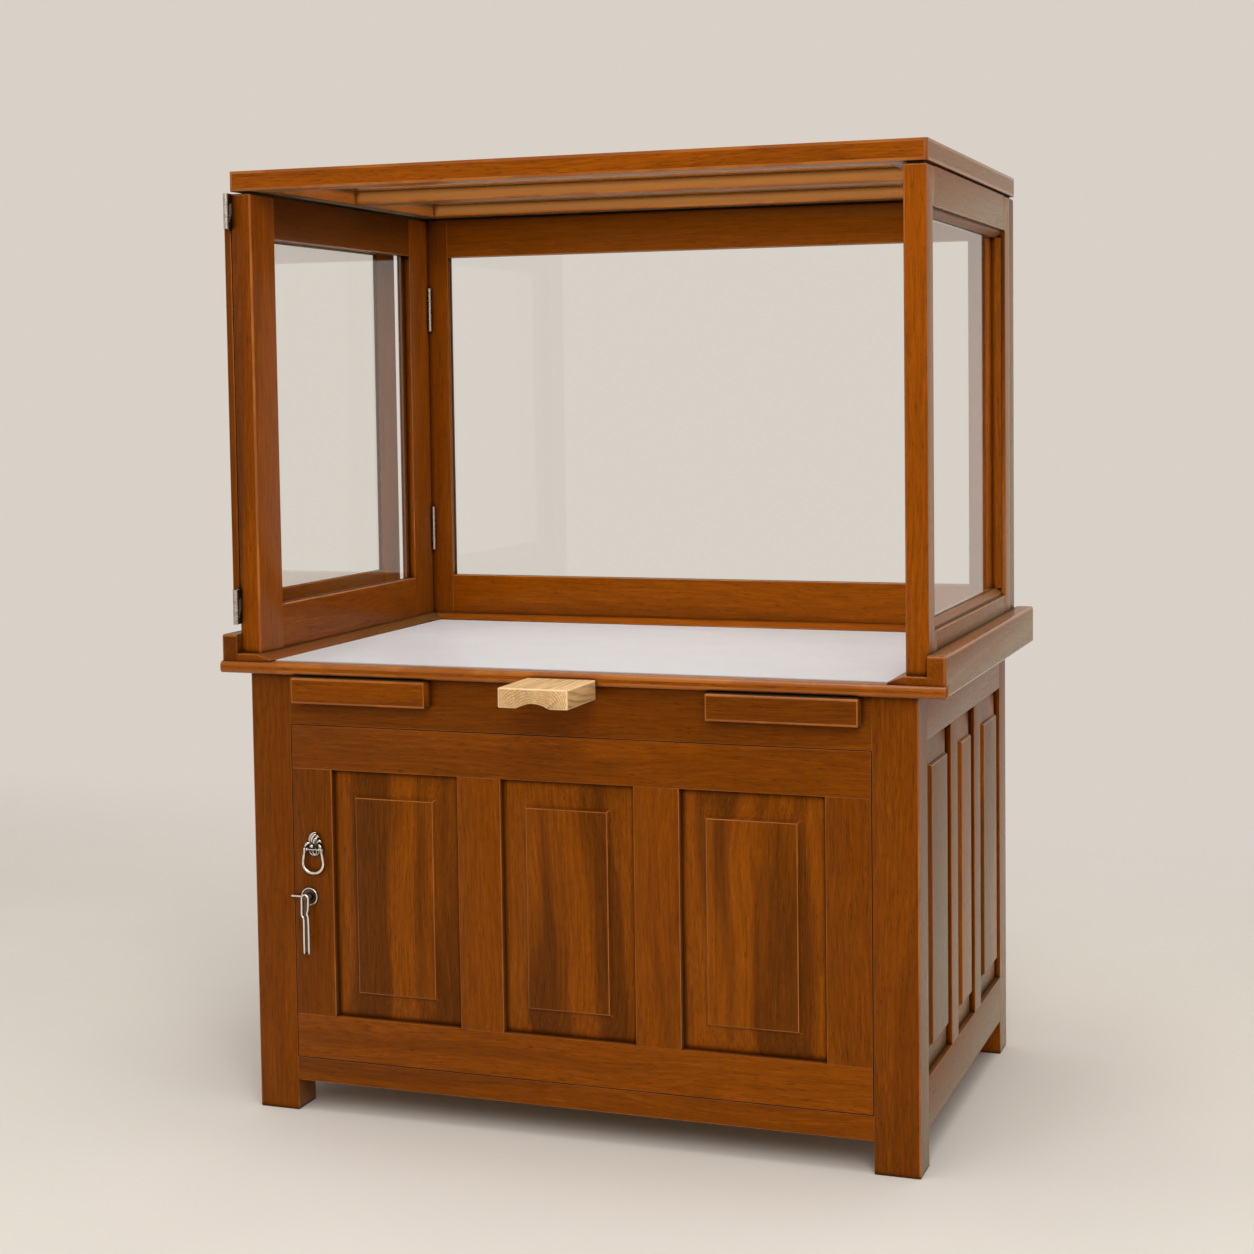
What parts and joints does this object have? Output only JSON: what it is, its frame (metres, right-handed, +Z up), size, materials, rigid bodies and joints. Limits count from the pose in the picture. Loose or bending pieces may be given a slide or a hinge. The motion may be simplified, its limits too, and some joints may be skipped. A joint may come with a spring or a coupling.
{
  "type": "glazed bench cabinet",
  "caption": "Panelled wooden bench cabinet with a white worktop, shallow drawers, a bench pin, a wide panelled door and a glazed hood whose side and leaf fold on hinges.",
  "frame": {"origin": "on the floor, under the middle of the overall width and depth", "axes": "+Z up; the door, drawers and open side of the hood face -Y; +X is to the right seen from the front"},
  "size_m": [1.188, 0.82, 1.513],
  "materials": {
    "varnished_teak": "semi-gloss varnish",
    "white_laminate": "satin",
    "pale_wood": "bare",
    "inner_wood": "matt",
    "clear_glass": "clear",
    "polished_nickel": "polished",
    "dark_steel": "dark, worn"
  },
  "bodies": {
    "cabinet": {"leg_front_left": "varnished_teak", "leg_front_right": "varnished_teak", "leg_back_left": "varnished_teak", "leg_back_right": "varnished_teak", "front_apron": "varnished_teak", "front_rail": "varnished_teak", "left_side_rails": "varnished_teak", "left_side_muntins": "varnished_teak", "left_side_panels": "varnished_teak", "right_side_rails": "varnished_teak", "right_side_muntins": "varnished_teak", "right_side_panels": "varnished_teak", "back_rails": "varnished_teak", "back_board": "inner_wood", "floor_board": "inner_wood", "drawer_runners": "inner_wood", "worktop_board": "varnished_teak", "worktop_sheet": "white_laminate", "worktop_nosing": "varnished_teak", "left_ledge": "varnished_teak", "right_ledge": "varnished_teak", "left_sill": "varnished_teak", "right_sill": "varnished_teak", "back_sill": "varnished_teak", "back_frame_stiles": "varnished_teak", "back_frame_rails": "varnished_teak", "back_glass": "clear_glass", "back_beads": "varnished_teak", "right_frame_stiles": "varnished_teak", "right_frame_rails": "varnished_teak", "right_glass": "clear_glass", "right_beads": "varnished_teak", "lid_ends": "varnished_teak", "lid_rails": "varnished_teak", "lid_glass": "clear_glass", "lid_battens": "varnished_teak", "fold_hinge_fixed": "dark_steel"},
    "door": {"door_stiles": "varnished_teak", "door_rails": "varnished_teak", "door_muntins": "varnished_teak", "door_panels": "varnished_teak", "pull_rose": "polished_nickel", "latch_rose": "polished_nickel"},
    "bail": {"pull_bail": "polished_nickel"},
    "lever": {"latch_lever": "polished_nickel"},
    "left_drawer": {"left_drawer_front": "varnished_teak", "left_drawer_box": "inner_wood"},
    "right_drawer": {"right_drawer_front": "varnished_teak", "right_drawer_box": "inner_wood"},
    "pin": {"bench_pin": "pale_wood"},
    "left_side": {"left_frame_stiles": "varnished_teak", "left_frame_rails": "varnished_teak", "left_glass": "clear_glass", "left_beads": "varnished_teak", "fold_hinge_moving": "dark_steel", "leaf_hinge_fixed": "dark_steel"},
    "leaf": {"leaf_stiles": "varnished_teak", "leaf_rails": "varnished_teak", "leaf_glass": "clear_glass", "leaf_hinge_moving": "dark_steel"}
  },
  "joints": [
    {"name": "door_hinge", "type": "hinge", "parent": "cabinet", "child": "door", "pos_m": [0.4685, -0.275, 0.3595], "axis": [0, 0, 1], "range_deg": [0, 120]},
    {"name": "bail_swing", "type": "hinge", "parent": "door", "child": "bail", "pos_m": [-0.4405, -0.287, 0.4305], "axis": [-1, 0, 0], "range_deg": [0, 100]},
    {"name": "latch_turn", "type": "hinge", "parent": "door", "child": "lever", "pos_m": [-0.4515, -0.288, 0.3525], "axis": [0, -1, 0], "range_deg": [0, 90]},
    {"name": "left_drawer_slide", "type": "slide", "parent": "cabinet", "child": "left_drawer", "axis": [0, -1, 0], "range_m": [0, 0.3]},
    {"name": "right_drawer_slide", "type": "slide", "parent": "cabinet", "child": "right_drawer", "axis": [0, -1, 0], "range_m": [0, 0.3]},
    {"name": "pin_slide", "type": "slide", "parent": "cabinet", "child": "pin", "axis": [0, -1, 0], "range_m": [0, 0.07]},
    {"name": "side_fold", "type": "hinge", "parent": "cabinet", "child": "left_side", "pos_m": [-0.5272, 0.341, 1.1075], "axis": [0, 0, 1], "range_deg": [0, 90]},
    {"name": "leaf_fold", "type": "hinge", "parent": "left_side", "child": "leaf", "pos_m": [-0.56675, -0.2935, 1.13385], "axis": [0, 0, -1], "range_deg": [-270, 0]}
  ]
}
